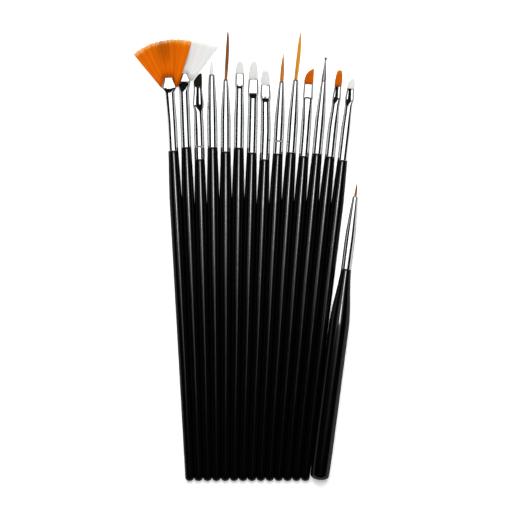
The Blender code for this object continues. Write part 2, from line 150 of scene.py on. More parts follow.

# What the imported nodes don't tell about each brush, or tell differently.
# Any pressed ferrule: neck and shoulder are half the tube's width and depth where the press
#   begins, press and mouth half its width where it is pressed and at its mouth, pressed half its
#   thickness, flat_length the length of the pressed stretch and ramp that of the way to it. edge
#   is as EDGE, skew makes the flat thicker to the right, roll turns the whole about its axis (in
#   radians), sway is how far the mouth lies to the right, and arch how far the crimp's middle
#   rises. The flat sinks by dip along a line that lies dip_at to the right of its middle.
# Any brush: hair names its material, groove marks a crimped groove in its ferrule, and dome is
#   the length of its rounded tail, where that isn't DOME.
# Flat: outline is the hairs' reach, full the tuft's width against the imported one's.
# Round: bow is how far the tip bends to the right, full the tuft's root against the ferrule's
#   mouth, taper its fullness.
# Fan: its hairs fill a sector whose apex lies drop below the crimp and side to the right, from
#   left to right degrees, as long as radius. trim shortens the middle hairs, flare lengthens the
#   right ones, and each dense patch paints shade on the hairs where they lie thickest: (place
#   across, width, by how much).
# Ball: ball is its radius, root and waist are the rod's, at the ferrule and at its thinnest.
STYLES = {
    "fan_amber": dict(
        kind="fan", neck=2.1, shoulder=1.6, press=3.0, mouth=1.95, sway=-0.55, flat_length=4.4, ramp=2.0,
        pressed=0.6, edge=2.0, roll=-0.07, hair="nylon_amber", drop=5.8, side=0.9, radius=26.4,
        left=37.2, right=21.4, trim=0.015, dense=((0.52, 0.12, 0.85),)),
    "fan_white": dict(
        kind="fan", neck=2.1, press=2.75, mouth=1.72, flat_length=3.4, ramp=4.2, pressed=0.6, edge=1.1,
        roll=-0.03, skew=0.18, hair="nylon_white", drop=3.9, side=0.0, radius=21.6, left=36.0,
        right=41.0, flare=0.1),
    "angled_dark": dict(
        kind="flat", neck=1.95, shoulder=1.7, press=2.4, mouth=1.88, flat_length=7.5, ramp=2.8, dip=0.09,
        hair="sable_dark", outline=ANGLED, full=1.15, groove=True),
    "detail_white": dict(kind="round", hair="nylon_white", bow=0.0, full=0.6),
    "striper_brown": dict(kind="round", hair="sable_brown", bow=0.9, full=0.74, taper=LONG_TAPER),
    "oval_white_small": dict(
        kind="flat", neck=1.7, press=1.95, flat_length=4.85, ramp=1.4, dip=0.07, hair="nylon_white",
        outline=OVAL, full=1.08),
    "oval_white_large": dict(
        kind="flat", neck=2.05, press=2.3, flat_length=5.8, ramp=2.1, dip=0.03, hair="nylon_white",
        outline=OVAL, full=1.06),
    "oval_white_medium": dict(
        kind="flat", neck=2.0, press=2.2, flat_length=5.15, ramp=1.9, dip=0.12, dip_at=-0.25,
        hair="nylon_white", outline=BLUNT, full=1.06),
    "liner_amber": dict(kind="round", hair="nylon_bronze", bow=0.15, full=0.82, groove=True),
    "striper_amber": dict(kind="round", hair="nylon_gold", bow=0.75, full=0.7, taper=LONG_TAPER),
    "dagger_amber": dict(
        kind="flat", neck=1.95, shoulder=1.15, press=2.1, flat_length=6.1, ramp=0.5, arch=0.6,
        hair="nylon_amber", outline=DAGGER, full=1.08),
    "dotting_tool": dict(kind="ball", ball=0.62, root=1.0, waist=0.36),
    "oval_amber": dict(
        kind="flat", neck=1.75, shoulder=1.5, press=1.85, flat_length=4.8, ramp=2.6, dip=0.09,
        dip_at=-0.4, roll=-0.38, hair="nylon_amber", outline=BLUNT, full=1.08),
    "angled_white": dict(
        kind="flat", neck=1.7, shoulder=1.45, press=2.0, mouth=1.65, sway=-0.1, flat_length=4.7, ramp=2.6,
        dip=0.09, dip_at=-0.4, roll=-0.38, hair="nylon_white", outline=SLANT, full=1.25),
    "detail_brown": dict(kind="round", hair="sable_brown", bow=0.0, dome=2.4),
}

# The picture
VIEW_SHARE = 1.136  # the picture's width, as a share of the set's length
VIEW_ASIDE = (0.0046, -0.0003)  # the picture's middle, in metres
LENS = 200.0
SENSOR = 36.0

# Stage and light. Places and sizes of lights and panels are in metres.
FLOOR_HALF = 4.0  # half the table top's width, in metres
FLOOR_HEIGHT = -0.09
CARD_HEIGHT = -0.08  # of the cards that only reflections see
SHADE_SHARE = 2.2  # half the width of a dark card, against its handle's radius
SHADE_PAST = 5.0  # how far a dark card reaches past the handle's tail
SHINE_WIDTH = 3000.0  # of a bright card
SHINE_LEVEL = 1.15
OUTER = {"fan_amber": -1.0, "angled_white": 1.0}  # the brush at each side of the set, and its side
KEY_WATTS = 12.1
FILL_WATTS = 1.2
OVER_FERRULES = 0.11  # y of the ferrules' middle
WIDE_PANEL = (0.465, 0.26)
WIDE_RADIANCE = 1.7
CORNER = (0.95, 0.95, 0.32)
CORNER_PANEL = (0.6, 0.42)
CORNER_RADIANCE = 1.0
STRIP_HEIGHT = 0.9  # of the strip of light that draws the handles' shine
STRIP_WIDTH = 0.16
# Its pieces, from over the ferrules to over the tails: (x, lower y, upper y, radiance).
STRIP_LIGHT = (
    (0.08, 0.012, 0.2, 52.0), (0.12, -0.002, 0.012, 22.0), (0.18, -0.018, -0.002, 9.0),
    (0.22, -0.050, -0.018, 4.4), (0.26, -0.090, -0.050, 3.6), (0.26, -0.115, -0.090, 1.3),
)
# The room's brightness, from straight below (0) by the horizon (0.5) to straight above (1), and
# its tint. The metal mirrors it: what faces up is dark there, apart from the panels.
ROOM = ((0.0, 0.38), (0.25, 0.56), (0.44, 0.85), (0.58, 0.75), (0.625, 0.006), (1.0, 0.005))
ROOM_TINT = (0.98, 1.0, 1.01)


# ---------------------------------------------------------------- measuring the frame


def node_points(node):
    """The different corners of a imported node's mesh, in world metres."""
    mesh = frame["nodes"][node].data
    points = np.empty(len(mesh.vertices) * 3)
    mesh.vertices.foreach_get("co", points)
    return np.unique(np.round(points.reshape(-1, 3), 7), axis=0)


class Brush:
    """A brush's own frame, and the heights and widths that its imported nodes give."""

    def __init__(self, name):
        self.name = name
        self.style = STYLES[name]
        self.kind = self.style["kind"]
        handle = node_points(name + "_handle")
        middle = handle.mean(axis=0)
        along = np.linalg.svd(handle - middle, full_matrices=False)[2][0]
        self.along = along * np.sign(along[1])
        self.right = np.cross(self.along, (0.0, 0.0, 1.0))
        self.right /= np.linalg.norm(self.right)
        self.down = np.cross(self.along, self.right)
        self.tail = middle + self.along * ((handle - middle) @ self.along).min()
        self.roll = 0.0
        ferrule = self.local(node_points(name + "_ferrule"))
        self.collar, self.mouth = ferrule[:, 2].min(), ferrule[:, 2].max()
        if self.kind in ("flat", "fan"):
            ring = ferrule[ferrule[:, 2] > self.mouth - 0.02][:, :2]
            wide = np.linalg.svd(ring - ring.mean(axis=0), full_matrices=False)[2][0]
            self.roll = math.atan2(wide[1] * np.sign(wide[0]), abs(wide[0]))
            self.roll = self.style.get("roll", self.roll)
        ferrule = self.local(node_points(name + "_ferrule"))
        ring = ferrule[ferrule[:, 2] > self.mouth - 0.02]
        self.mouth_half = self.style.get("mouth", np.ptp(ring[:, 0]) / 2.0)
        self.sway = self.style.get("sway", (ring[:, 0].max() + ring[:, 0].min()) / 2.0)
        self.tip_node = name + ("_stylus" if self.kind == "ball" else "_tuft")
        tip = self.local(node_points(self.tip_node))
        self.tip = tip[:, 2].max()
        self.tuft_half = np.ptp(tip[:, 0]) / 2.0
        self.body = name + "_brush"

    def local(self, points):
        """World metres to millimetres right, down and along, in the rolled frame."""
        off = (points - self.tail) / MM
        x, y, z = off @ self.right, off @ self.down, off @ self.along
        c, s = math.cos(self.roll), math.sin(self.roll)
        return np.stack((c * x + s * y, c * y - s * x, z), axis=-1)

    def world(self, points):
        """The other way round."""
        x, y, z = points[..., 0:1], points[..., 1:2], points[..., 2:3]
        c, s = math.cos(self.roll), math.sin(self.roll)
        right, down = c * x - s * y, s * x + c * y
        return self.tail + (right * self.right + down * self.down + z * self.along) * MM

    def matrix(self):
        """The brush's frame as an object's matrix, rolled, in metres."""
        c, s = math.cos(self.roll), math.sin(self.roll)
        axes = (c * self.right + s * self.down, c * self.down - s * self.right, self.along)
        matrix = Matrix.Identity(4)
        for column, axis in enumerate((*axes, self.tail)):
            for row in range(3):
                matrix[row][column] = axis[row]
        return matrix

    def handle_rings(self):
        """(height, radius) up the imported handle, from its tail to its shoulder."""
        points = self.local(node_points(self.name + "_handle"))
        heights = np.round(points[:, 2], 2)
        levels = [h for h in np.unique(heights) if h < self.collar - 0.1]
        radii = [np.hypot(points[heights == h, 0], points[heights == h, 1]).max() for h in levels]
        return np.array(levels), np.array(radii)

    def sideways(self, height):
        """How far the ferrule's middle, or its tuft's, lies to the right at a height."""
        start = self.collar + STRAIGHT
        return self.sway * np.maximum(0.0, (height - start) / (self.mouth - start))


def smooth(xs, ys, x):
    """A smooth curve through the points (xs, ys) that never overshoots them, read at x."""
    xs, ys, x = np.asarray(xs, float), np.asarray(ys, float), np.asarray(x, float)
    step = np.diff(xs)
    slope = np.diff(ys) / step
    tangent = np.empty(len(xs))
    tangent[0], tangent[-1] = slope[0], slope[-1]
    same = slope[:-1] * slope[1:] > 0.0
    total = np.where(same, slope[:-1] + slope[1:], 1.0)
    tangent[1:-1] = np.where(same, 2.0 * slope[:-1] * slope[1:] / total, 0.0)
    i = np.clip(np.searchsorted(xs, x) - 1, 0, len(xs) - 2)
    t = np.clip((x - xs[i]) / step[i], 0.0, 1.0)
    a, b = ys[i], ys[i + 1]
    return (
        a * (1 + 2 * t) * (1 - t) ** 2
        + b * t * t * (3 - 2 * t)
        + step[i] * (tangent[i] * t * (1 - t) ** 2 - tangent[i + 1] * t * t * (1 - t))
    )


def read_curve(points, x):
    """A smooth curve through (x, y) points, read at x."""
    return smooth([point[0] for point in points], [point[1] for point in points], x)


# ---------------------------------------------------------------- meshes


def make_piece(name, points, faces, material, smooth_angle=None, values=None):
    """A mesh object from world points and faces. values are numbers kept on its points."""
    mesh = bpy.data.meshes.new(name)
    mesh.from_pydata([tuple(p) for p in points], [], faces)
    for label, numbers in (values or {}).items():
        layer = mesh.attributes.new(label, "FLOAT", "POINT")
        layer.data.foreach_set("value", np.asarray(numbers, np.float32))
    mesh.materials.append(material)
    mesh.shade_smooth()
    if smooth_angle:
        mesh.set_sharp_from_angle(angle=math.radians(smooth_angle))
    obj = bpy.data.objects.new(name, mesh)
    bpy.context.scene.collection.objects.link(obj)
    return obj


def ring_faces(rings, sides, start=0, loop=False):
    """Quads between neighbouring rings of points; loop joins the last ring to the first."""
    faces = []
    for i in range(rings if loop else rings - 1):
        low, high = start + i * sides, start + (i + 1) % rings * sides
        for k in range(sides):
            j = (k + 1) % sides
            faces.append((low + k, low + j, high + j, high + k))
    return faces


def capped_faces(rings, sides, start=0):
    """As ring_faces, with a face over each end."""
    first = tuple(range(start + sides - 1, start - 1, -1))
    last = tuple(range(start + (rings - 1) * sides, start + rings * sides))
    return ring_faces(rings, sides, start) + [first, last]


def circle(sides):
    """The cosines and sines of so many directions."""
    turn = (np.arange(sides) + 0.5) * 2.0 * math.pi / sides
    return np.cos(turn), np.sin(turn)


def make_local(brush, name, points, faces, material, smooth_angle):
    """A mesh object from points in the brush's own frame, which its object then takes."""
    obj = make_piece(name, points * MM, faces, material, smooth_angle)
    obj.matrix_world = brush.matrix()
    return obj


def turned(brush, name, heights, radii, material, sides=SIDES):
    """A closed solid of revolution about the brush's axis."""
    c, s = circle(sides)
    rings = [np.stack((r * c, r * s, np.full(sides, h)), axis=-1) for h, r in zip(heights, radii)]
    faces = capped_faces(len(rings), sides)
    return make_local(brush, name, np.concatenate(rings), faces, material, 40.0)


def finish_piece(obj, brush, slot, *nodes):
    """Says what a rigid piece rides on and which nodes it stands for; its slot is not used."""
    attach(obj, brush.body)
    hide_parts(*nodes)


# ---------------------------------------------------------------- handles


def body_profile(brush, levels, radii, heights):
    """The handle's radii at these heights. A slim one keeps its taper until it narrows."""
    if "dome" in brush.style:
        top = min(radii[-1], TUBE - 0.03)
        return smooth(np.append(levels, brush.collar - 0.02), np.append(radii, top), heights)
    widest = radii.argmax()
    slope = (radii[widest] - radii[0]) / (levels[widest] - levels[0])
    taper = radii[0] + slope * (heights - levels[0])
    return np.minimum(taper, read_curve(NARROWING, heights - brush.collar))


def make_handle(brush):
    """The lacquered handle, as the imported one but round, with a full dome at its tail."""
    levels, radii = brush.handle_rings()
    dome = brush.style.get("dome", DOME)
    above = levels > dome - 0.05
    levels, radii = levels[above], radii[above] + COAT
    shoulder = brush.collar - SHOULDER_GAP
    low = dome * (1.0 - np.linspace(0.02, 1.0, 14) ** 1.6)[::-1]
    low_radii = radii[0] * np.sqrt(np.clip(1.0 - (1.0 - low / dome) ** DOME_SQUARENESS, 0.0, 1.0))
    taper, narrow = (dome, shoulder - 34.0), (shoulder - 33.0, shoulder - SHOULDER_GAP)
    body = np.concatenate((np.linspace(*taper, 26), np.linspace(*narrow, 30)))
    heights = [0.004, *low[1:-1], *body, shoulder, shoulder + 0.06, shoulder + 1.0]
    body_radii = body_profile(brush, levels, radii, body)
    end = body_radii[-1]
    profile = [0.25, *low_radii[1:-1], *body_radii, end - 0.03, end - 0.25, TENON]
    name = brush.name + "_handle"
    obj = turned(brush, name + "_lacquered", heights, profile, PAINT["black_lacquer"])
    finish_piece(obj, brush, "black_lacquer", name)


# ---------------------------------------------------------------- ferrules


def ferrule_control(brush):
    """Rows of (height, half width, half depth, press, dip) up the ferrule's outside. Past the
    press, half the gap of the pliers that flattened it, the tube is cut off flat."""
    style, foot, mouth = brush.style, brush.collar, brush.mouth
    straight = foot + STRAIGHT
    rows = [(foot, TUBE, TUBE, OPEN, 0.0), (foot + 1.0, TUBE, TUBE, OPEN, 0.0)]
    if style.get("groove"):
        for ahead, depth in ((-GROOVE_HALF, 0.0), (0.0, GROOVE_DEPTH), (GROOVE_HALF, 0.0)):
            rows.append((foot + GROOVE_AT + ahead, TUBE - depth, TUBE - depth, OPEN, 0.0))
    rows.append((straight, TUBE, TUBE, OPEN, 0.0))
    if brush.kind in ("round", "ball"):
        bulge = TUBE * 0.6 + brush.mouth_half * 0.4
        rows.append(((straight + mouth) / 2.0, bulge, bulge, OPEN, 0.0))
        rows.append((mouth, brush.mouth_half, brush.mouth_half, OPEN, 0.0))
        return rows
    neck, press, dip = style["neck"], style["press"], style.get("dip", 0.0)
    crimp, ramp = mouth - style["flat_length"], style["ramp"]
    pressed, deep = style.get("pressed", PRESSED), style.get("shoulder", neck)
    half_width, half_press = neck * 0.45 + press * 0.55, deep * 0.42 + pressed * 0.6
    return rows + [
        (crimp - ramp - 1.2, neck, deep, OPEN, 0.0),
        (crimp - ramp, neck * 1.01, deep, deep * 1.03, 0.0),
        (crimp - ramp * 0.4, half_width, deep * 0.93, half_press, 0.0),
        (crimp, press, pressed * 1.06, pressed, dip * 0.5),
        (crimp + 0.3, press, pressed * 1.06, pressed, dip),
        (mouth - 0.5, brush.mouth_half, pressed, pressed * 0.94, dip * 0.8),
        (mouth, brush.mouth_half, pressed, pressed * 0.94, dip * 0.2),
    ]


def flat_tube(width, depth, edge):
    """SIDES points round a tube of these half sizes, flat in its middle, whose two sides are
    halves of an ellipse that reach so many depths across."""
    edge = min(edge, width / depth) * depth
    flat = 2.0 * (width - edge)
    # The points are evenly spaced, so the way walked round the half ellipse is added up first.
    angles = np.linspace(0.0, math.pi, 400)
    steps = np.hypot(edge * np.cos(angles[:-1]), depth * np.sin(angles[:-1])) * (angles[1] - angles[0])
    walked = np.concatenate(((0.0,), np.cumsum(steps)))
    half = flat + walked[-1]
    way = (np.arange(SIDES) + 0.5) / SIDES * 2.0 * half
    way, side = way % half, np.where(way >= half, -1.0, 1.0)
    turn = np.interp(way - flat / 2.0, walked, angles)
    back = np.maximum(way - flat / 2.0 - walked[-1], 0.0)
    x = np.minimum(way, flat / 2.0) + edge * np.sin(turn) - back
    return side * x, -side * depth * np.cos(turn)


def ferrule_ring(brush, rows, height, inset):
    """Points round the ferrule at a height, inset by so much from its outside."""
    at = [row[0] for row in rows]
    # Widths, depths and dips run smoothly; the press closes in a straight line, as pliers do.
    width, depth, dip = (float(smooth(at, [row[i] for row in rows], height)) for i in (1, 2, 4))
    press = float(np.interp(height, at, [row[3] for row in rows])) - inset
    flatness = 1.0 - min(1.0, depth / width) ** 2
    edge = 1.0 + (brush.style.get("edge", EDGE) - 1.0) * flatness
    across, deep = flat_tube(width - inset, depth - inset, edge)
    press = np.maximum(press + brush.style.get("skew", 0.0) * across, 0.3)
    deep = deep / (1.0 + np.abs(deep / press) ** PRESS_EDGE) ** (1.0 / PRESS_EDGE)
    sunk = (across - brush.style.get("dip_at", 0.0)) / DIP_WIDTH
    deep = deep * (1.0 - dip / depth * np.exp(-(sunk**2)))
    arch = brush.style.get("arch", 0.0) * (1.0 - (across / width) ** 2)
    if np.any(arch):
        past_crimp = height - brush.mouth + brush.style["flat_length"]
        arch = arch * math.exp(-((past_crimp / ARCH_REACH) ** 2))
    return np.stack((across + brush.sideways(height), deep, height + arch), axis=-1)


def make_ferrule(brush):
    """The polished tube: its outside, its rounded mouth and its inside, as one closed skin."""
    rows = ferrule_control(brush)
    foot, mouth = brush.collar, brush.mouth
    heights = [foot + 0.1, foot + 0.13, *np.linspace(foot + 0.2, mouth - RIM, 34)]
    if brush.style.get("groove"):
        heights += list(foot + GROOVE_AT + np.linspace(-0.5, 0.5, 11))
    if brush.kind in ("flat", "fan"):
        crimp = mouth - brush.style["flat_length"]
        heights += list(np.linspace(crimp - brush.style["ramp"] - 0.6, crimp + 0.4, 26))
    outer = [(foot, RIM)] + [(h, 0.0) for h in sorted(heights)]
    rim = [(mouth - RIM * 0.3, RIM * 0.3), (mouth, RIM), (mouth, WALL - RIM), (mouth - RIM, WALL)]
    inner = [(h, WALL) for h in np.linspace(mouth - 0.5, foot + 0.2, 12)] + [(foot, WALL - RIM)]
    rings = [ferrule_ring(brush, rows, h, inset) for h, inset in outer + rim + inner]
    name = brush.name + "_ferrule"
    faces = ring_faces(len(rings), SIDES, loop=True)
    metal = PAINT["polished_ferrule"]
    obj = make_local(brush, name + "_polished", np.concatenate(rings), faces, metal, 60.0)
    finish_piece(obj, brush, "polished_ferrule", name)


def make_knot(brush):
    """The butts of the hairs, or the root of the stylus, set in epoxy inside the ferrule."""
    rows = ferrule_control(brush)
    heights = np.linspace(brush.mouth - KNOT_DEPTH, brush.mouth - 0.3, 12)
    rings = [ferrule_ring(brush, rows, height, WALL + 0.02) for height in heights]
    node = brush.name + ("_socket" if brush.kind == "ball" else "_knot")
    faces = capped_faces(len(rings), SIDES)
    obj = make_local(brush, node + "_set", np.concatenate(rings), faces, PAINT["epoxy"], 40.0)
    finish_piece(obj, brush, "epoxy", node)


# ---------------------------------------------------------------- hair


def hair_mesh(paths, radii, across):
    """Tapering tubes along many paths at once. paths is hairs x steps x 3, radii is hairs x
    steps, across is one unit vector a hair, square to it and to the brush's depth."""
    hairs, steps = radii.shape
    c, s = circle(HAIR_SIDES)
    deep = np.array((0.0, 1.0, 0.0))
    spokes = c[None, :, None] * across[:, None, :] + s[None, :, None] * deep
    points = paths[:, :, None, :] + radii[:, :, None, None] * spokes[:, None, :, :]
    faces = []
    for i in range(hairs):
        faces += capped_faces(steps, HAIR_SIDES, i * steps * HAIR_SIDES)
    along = np.broadcast_to(np.linspace(0.0, 1.0, steps)[None, :, None], (hairs, steps, HAIR_SIDES))
    return points.reshape(-1, 3), faces, along.ravel()


def add_core(points, faces, values, core_points, steps, sides, tint):
    """Adds a solid under the hairs, so that no gap between them shows through. Its low tint is painted shade
    deep in the tuft.
    """
    faces = faces + capped_faces(steps, sides, len(points))
    along = np.repeat(np.linspace(0.0, 0.8, steps), sides)
    values["along"] = np.concatenate((values["along"], along))
    values["tint"] = np.concatenate((values["tint"], np.full(steps * sides, tint)))
    return np.concatenate((points, core_points)), faces, values


def bundle(count, seed):
    """Places for hairs in a unit disc, thick near its edge, and the random draws for them."""
    draw = np.random.default_rng(seed)
    angle = np.arange(count) * math.pi * (3.0 - math.sqrt(5.0))
    reach = np.sqrt((np.arange(count) + 0.5) / count) ** 0.8
    u, v = reach * np.cos(angle), reach * np.sin(angle)
    return u, v, draw


def make_flat_tuft(brush, seed):
    """A pressed tuft: parallel hairs, cut to the outline, thinning to its edge."""
    u, v, draw = bundle(FLAT_HAIRS, seed)
    half, length = brush.tuft_half * brush.style["full"], brush.tip - brush.mouth
    outline = brush.style["outline"]
    reach = read_curve(outline, u) * (1.0 - 0.05 * draw.random(len(u)))
    t = np.linspace(0.0, 1.0, HAIR_STEPS)
    share = t[None, :] * reach[:, None]
    depth = FLAT_DEPTH * (1.0 - 0.78 * share**1.3)
    base = brush.mouth - FLAT_ROOT
    height = base + (length + FLAT_ROOT) * share
    pull = 1.0 - 0.08 * share**2 if outline in (OVAL, BLUNT) else np.ones_like(share)
    stray = (draw.random(len(u)) - 0.5)[:, None] * 0.10 * share**2
    swell = 1.0 - 0.10 * np.exp(-share * 9.0)
    x = half * u[:, None] * pull * swell + stray + brush.sideways(height)
    y = depth * v[:, None]
    paths = np.stack((x, y, height), axis=-1)
    thickness = (FLAT_HAIR[0] + FLAT_HAIR[1] * draw.random(len(u)))[:, None]
    radii = np.linspace(1.0, 0.55, HAIR_STEPS)[None, :] * thickness
    across = np.tile((1.0, 0.0, 0.0), (len(u), 1))
    points, faces, along = hair_mesh(paths, radii, across)
    values = {"along": along * np.repeat(reach, HAIR_STEPS * HAIR_SIDES)}
    # Each hair's random tint, held low: painted shade of the thick pressed bundle.
    values["tint"] = np.repeat(draw.random(len(u)) * FLAT_SHADE_TINTS, HAIR_STEPS * HAIR_SIDES)
    steps, sides = 9, 24
    c, s = circle(sides)
    rings = []
    for share in np.linspace(0.0, CORE_END, steps):
        inside = [x for x in np.linspace(-1.0, 1.0, 81) if read_curve(outline, x) >= share]
        left, right = half * inside[0] * 0.95, half * inside[-1] * 0.95
        height = base + (length + FLAT_ROOT) * share * 0.96
        x = (left + right) / 2.0 + brush.sideways(height) + (right - left) / 2.0 * c
        thick = 0.40 * (1.0 - 0.80 * share)
        rings.append(np.stack((x, thick * s, np.full(sides, height)), axis=-1))
    # The core's low tint is painted shade inside the tuft.
    points, faces, values = add_core(points, faces, values, np.concatenate(rings), steps, sides, 0.2)
    return brush.world(points), faces, values


def make_round_tuft(brush, seed):
    """A pointed tuft: hairs that lie round an axis, which may bow to the right, and meet at a tip."""
    u, v, draw = bundle(ROUND_HAIRS, seed)
    length = brush.tip - brush.mouth
    radius = brush.mouth_half * brush.style["full"] if "full" in brush.style else brush.tuft_half
    taper, bend = brush.style.get("taper", TAPER), brush.style["bow"]
    t = np.linspace(0.0, 1.0, ROUND_STEPS)
    reach = 1.0 - 0.22 * draw.random(len(u)) * np.hypot(u, v) ** 2
    share = t[None, :] * reach[:, None]
    fullness = read_curve(taper, share)
    base = brush.mouth - ROUND_ROOT
    height = base + (length + ROUND_ROOT) * share
    bow = bend * np.sin(share * math.pi / 2.0)
    x = radius * 0.94 * u[:, None] * fullness + bow + brush.sideways(height)
    y = radius * 0.94 * v[:, None] * fullness
    paths = np.stack((x, y, height), axis=-1)
    thickness = (ROUND_HAIR[0] + ROUND_HAIR[1] * draw.random(len(u)))[:, None]
    radii = np.linspace(1.0, 0.5, ROUND_STEPS)[None, :] * thickness
    across = np.tile((1.0, 0.0, 0.0), (len(u), 1))
    points, faces, along = hair_mesh(paths, radii, across)
    per_hair = ROUND_STEPS * HAIR_SIDES
    values = {"along": along * np.repeat(reach, per_hair)}
    values["tint"] = np.repeat(draw.random(len(u)), per_hair)
    steps, sides = 12, 16
    c, s = circle(sides)
    rings = []
    for share in np.linspace(0.0, CORE_END, steps):
        wide = radius * 0.86 * float(read_curve(taper, share))
        height = base + (length + ROUND_ROOT) * share
        middle = bend * math.sin(share * math.pi / 2.0) + brush.sideways(height)
        rings.append(np.stack((middle + wide * c, wide * s, np.full(sides, height)), axis=-1))
    # The core's low tint is painted shade inside the tuft.
    points, faces, values = add_core(points, faces, values, np.concatenate(rings), steps, sides, 0.4)
    return brush.world(points), faces, values


def fan_exit(brush, angle):
    """How far from the sector's apex a hair at this angle leaves the ferrule's tapering end: by
    its top edge, or by its slanting side."""
    style = brush.style
    base, top = style["drop"], style["drop"] + style["flat_length"]
    side = style["side"] - brush.sway
    edge = np.sign(angle) * brush.mouth_half
    slope = np.sign(angle) * (brush.mouth_half - style["press"]) / style["flat_length"]
    by_top = top / np.cos(angle)
    run = np.sin(angle) - slope * np.cos(angle)
    by_side = (edge - slope * top - side) / np.where(np.abs(run) > 1e-4, run, 1e-4)
    past_edge = np.abs(side + by_top * np.sin(angle)) > brush.mouth_half
    return np.maximum(np.where(past_edge, np.minimum(by_top, by_side), by_top), base / np.cos(angle))


def fan_sheet(brush):
    """(slope to the right, slope along, height at the crimp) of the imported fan's sheet, against
    the flat of its ferrule."""
    points = brush.local(node_points(brush.tip_node))
    middle = points.mean(axis=0)
    deep = np.linalg.svd(points - middle, full_matrices=False)[2][2]
    right, along = -deep[0] / deep[1], -deep[2] / deep[1]
    crimp = brush.mouth - brush.style["flat_length"]
    return right, along, middle[1] - right * middle[0] - along * (middle[2] - crimp)


def make_fan_tuft(brush, seed):
    """Hairs that spread in a thin fan, in wisps that part towards their tips."""
    style = brush.style
    draw = np.random.default_rng(seed)
    crimp = brush.mouth - style["flat_length"]
    # Each hair's place runs from 0 at the left to 1 at the right.
    place = (np.arange(FAN_HAIRS) + draw.random(FAN_HAIRS)) / FAN_HAIRS
    wisp = np.floor(place * FAN_WISPS)
    wisp_middle = (wisp + 0.5 + 0.3 * (draw.random(FAN_HAIRS) - 0.5)) / FAN_WISPS
    first, sweep = math.radians(-style["left"]), math.radians(style["left"] + style["right"])
    root_angle = first + sweep * place
    tip_angle = first + sweep * (place * 0.7 + wisp_middle * 0.3)
    wisp_reach = draw.random(FAN_WISPS)[wisp.astype(int)]
    trim = 1.0 - style.get("trim", 0.0) * np.sin(math.pi * place)
    flare = 1.0 + style.get("flare", 0.0) * np.clip(root_angle / math.radians(style["right"]), 0.0, 1.0) ** 2
    reach = style["radius"] * trim * flare * (0.967 + 0.016 * wisp_reach + 0.02 * draw.random(FAN_HAIRS))
    t = np.append(np.linspace(0.0, 0.9, HAIR_STEPS - 1), 1.0)[None, :]
    exits = fan_exit(brush, root_angle)[:, None]
    inside = np.maximum(exits - 0.5, (style["drop"] + 0.25) / np.cos(root_angle[:, None]))
    r = inside + (reach[:, None] - inside) * t
    angle = root_angle[:, None] + (tip_angle - root_angle)[:, None] * t**5
    x = style["side"] + r * np.sin(angle)
    z = r * np.cos(angle)
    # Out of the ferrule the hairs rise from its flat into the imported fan's sheet.
    layer = (draw.random(FAN_HAIRS) * 2.0 - 1.0)[:, None]
    wave = FAN_WAVE * np.sin(place * 31.0 + 1.3)[:, None] * t**2
    by_right, by_along, at_crimp = fan_sheet(brush)
    out = np.clip((r - exits) / 3.0, 0.0, 1.0)
    sheet = at_crimp + by_right * x + by_along * (z - style["drop"])
    y = layer * FAN_LAYER * (1.0 + 0.5 * out - t) + wave + sheet * out * out * (3.0 - 2.0 * out)
    paths = np.stack((x, y, z + crimp - style["drop"]), axis=-1)
    thickness = (FAN_HAIR[0] + FAN_HAIR[1] * draw.random(FAN_HAIRS))[:, None]
    radii = np.append(np.linspace(1.0, 0.9, HAIR_STEPS - 1), 0.6)[None, :] * thickness
    across = np.stack((np.cos(root_angle), np.zeros(FAN_HAIRS), -np.sin(root_angle)), axis=-1)
    points, faces, along = hair_mesh(paths, radii, across)
    # Painted shade where the fan's hairs lie thickest, over the upper part of each hair.
    dense = np.zeros(FAN_HAIRS)
    for middle, width, depth in style.get("dense", ()):
        dense = dense + depth * np.exp(-(((place - middle) / width) ** 2))
    upper = np.clip((t - 0.3) / 0.4, 0.0, 1.0)
    tint = 0.25 + 0.75 * draw.random(FAN_HAIRS)[:, None] - np.reshape(dense, (-1, 1)) * upper
    values = {"along": along, "tint": np.repeat(np.clip(tint, 0.0, 1.0).ravel(), HAIR_SIDES)}
    return brush.world(points), faces, values


TUFT_MAKERS = {"flat": make_flat_tuft, "round": make_round_tuft, "fan": make_fan_tuft}


def make_tuft(brush, seed):
    """The tuft, which rides on its brush; where its hair has a body of its own, it is left in place instead.
    """
    points, faces, values = TUFT_MAKERS[brush.kind](brush, seed)
    kind = brush.style["hair"]
    obj = make_piece(brush.name + "_hairs", points, faces, PAINT[kind], None, values)
    if brush.name + "_hair" in frame["bodies"]:
        length = brush.tip - brush.mouth
        root = brush.mouth - (brush.style["flat_length"] - 0.2 if brush.kind == "fan" else 0.1)
        free = root + (FAN_BEND_SHARE if brush.kind == "fan" else BEND_SHARE) * length
        aside = brush.sideways(brush.mouth)
        ends = [brush.world(np.array((aside, 0.0, height))) for height in (root, free)]
        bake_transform(obj)
    else:
        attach(obj, brush.body)
    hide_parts(brush.tip_node)


def make_stylus(brush):
    """The steel rod of the dotting tool, with its ball."""
    style, mouth, tip = brush.style, brush.mouth, brush.tip
    ball, root, waist = style["ball"], style["root"], style["waist"]
    neck = tip - 1.8 * ball
    half_way = ((mouth + neck) / 2.0, root * 0.4 + waist * 0.6)
    foot, rod_end = mouth - STYLUS_DEPTH, neck - 1.2
    heights = np.linspace(foot, rod_end, 26)
    radii = read_curve(((foot, root), (mouth + 0.2, root), half_way, (rod_end, waist)), heights)
    turn = np.radians(np.linspace(-52.0, 86.0, 18))
    ball_heights, ball_radii = tip - ball + ball * np.sin(turn), ball * np.cos(turn)
    heights = [*heights, neck - 0.35, neck - 0.1, *ball_heights]
    radii = [*radii, waist * 0.92, waist * 0.94, *ball_radii]
    obj = turned(brush, brush.name + "_stylus_turned", heights, radii, PAINT["steel"], 48)
    finish_piece(obj, brush, "steel", brush.tip_node)


# ---------------------------------------------------------------- materials


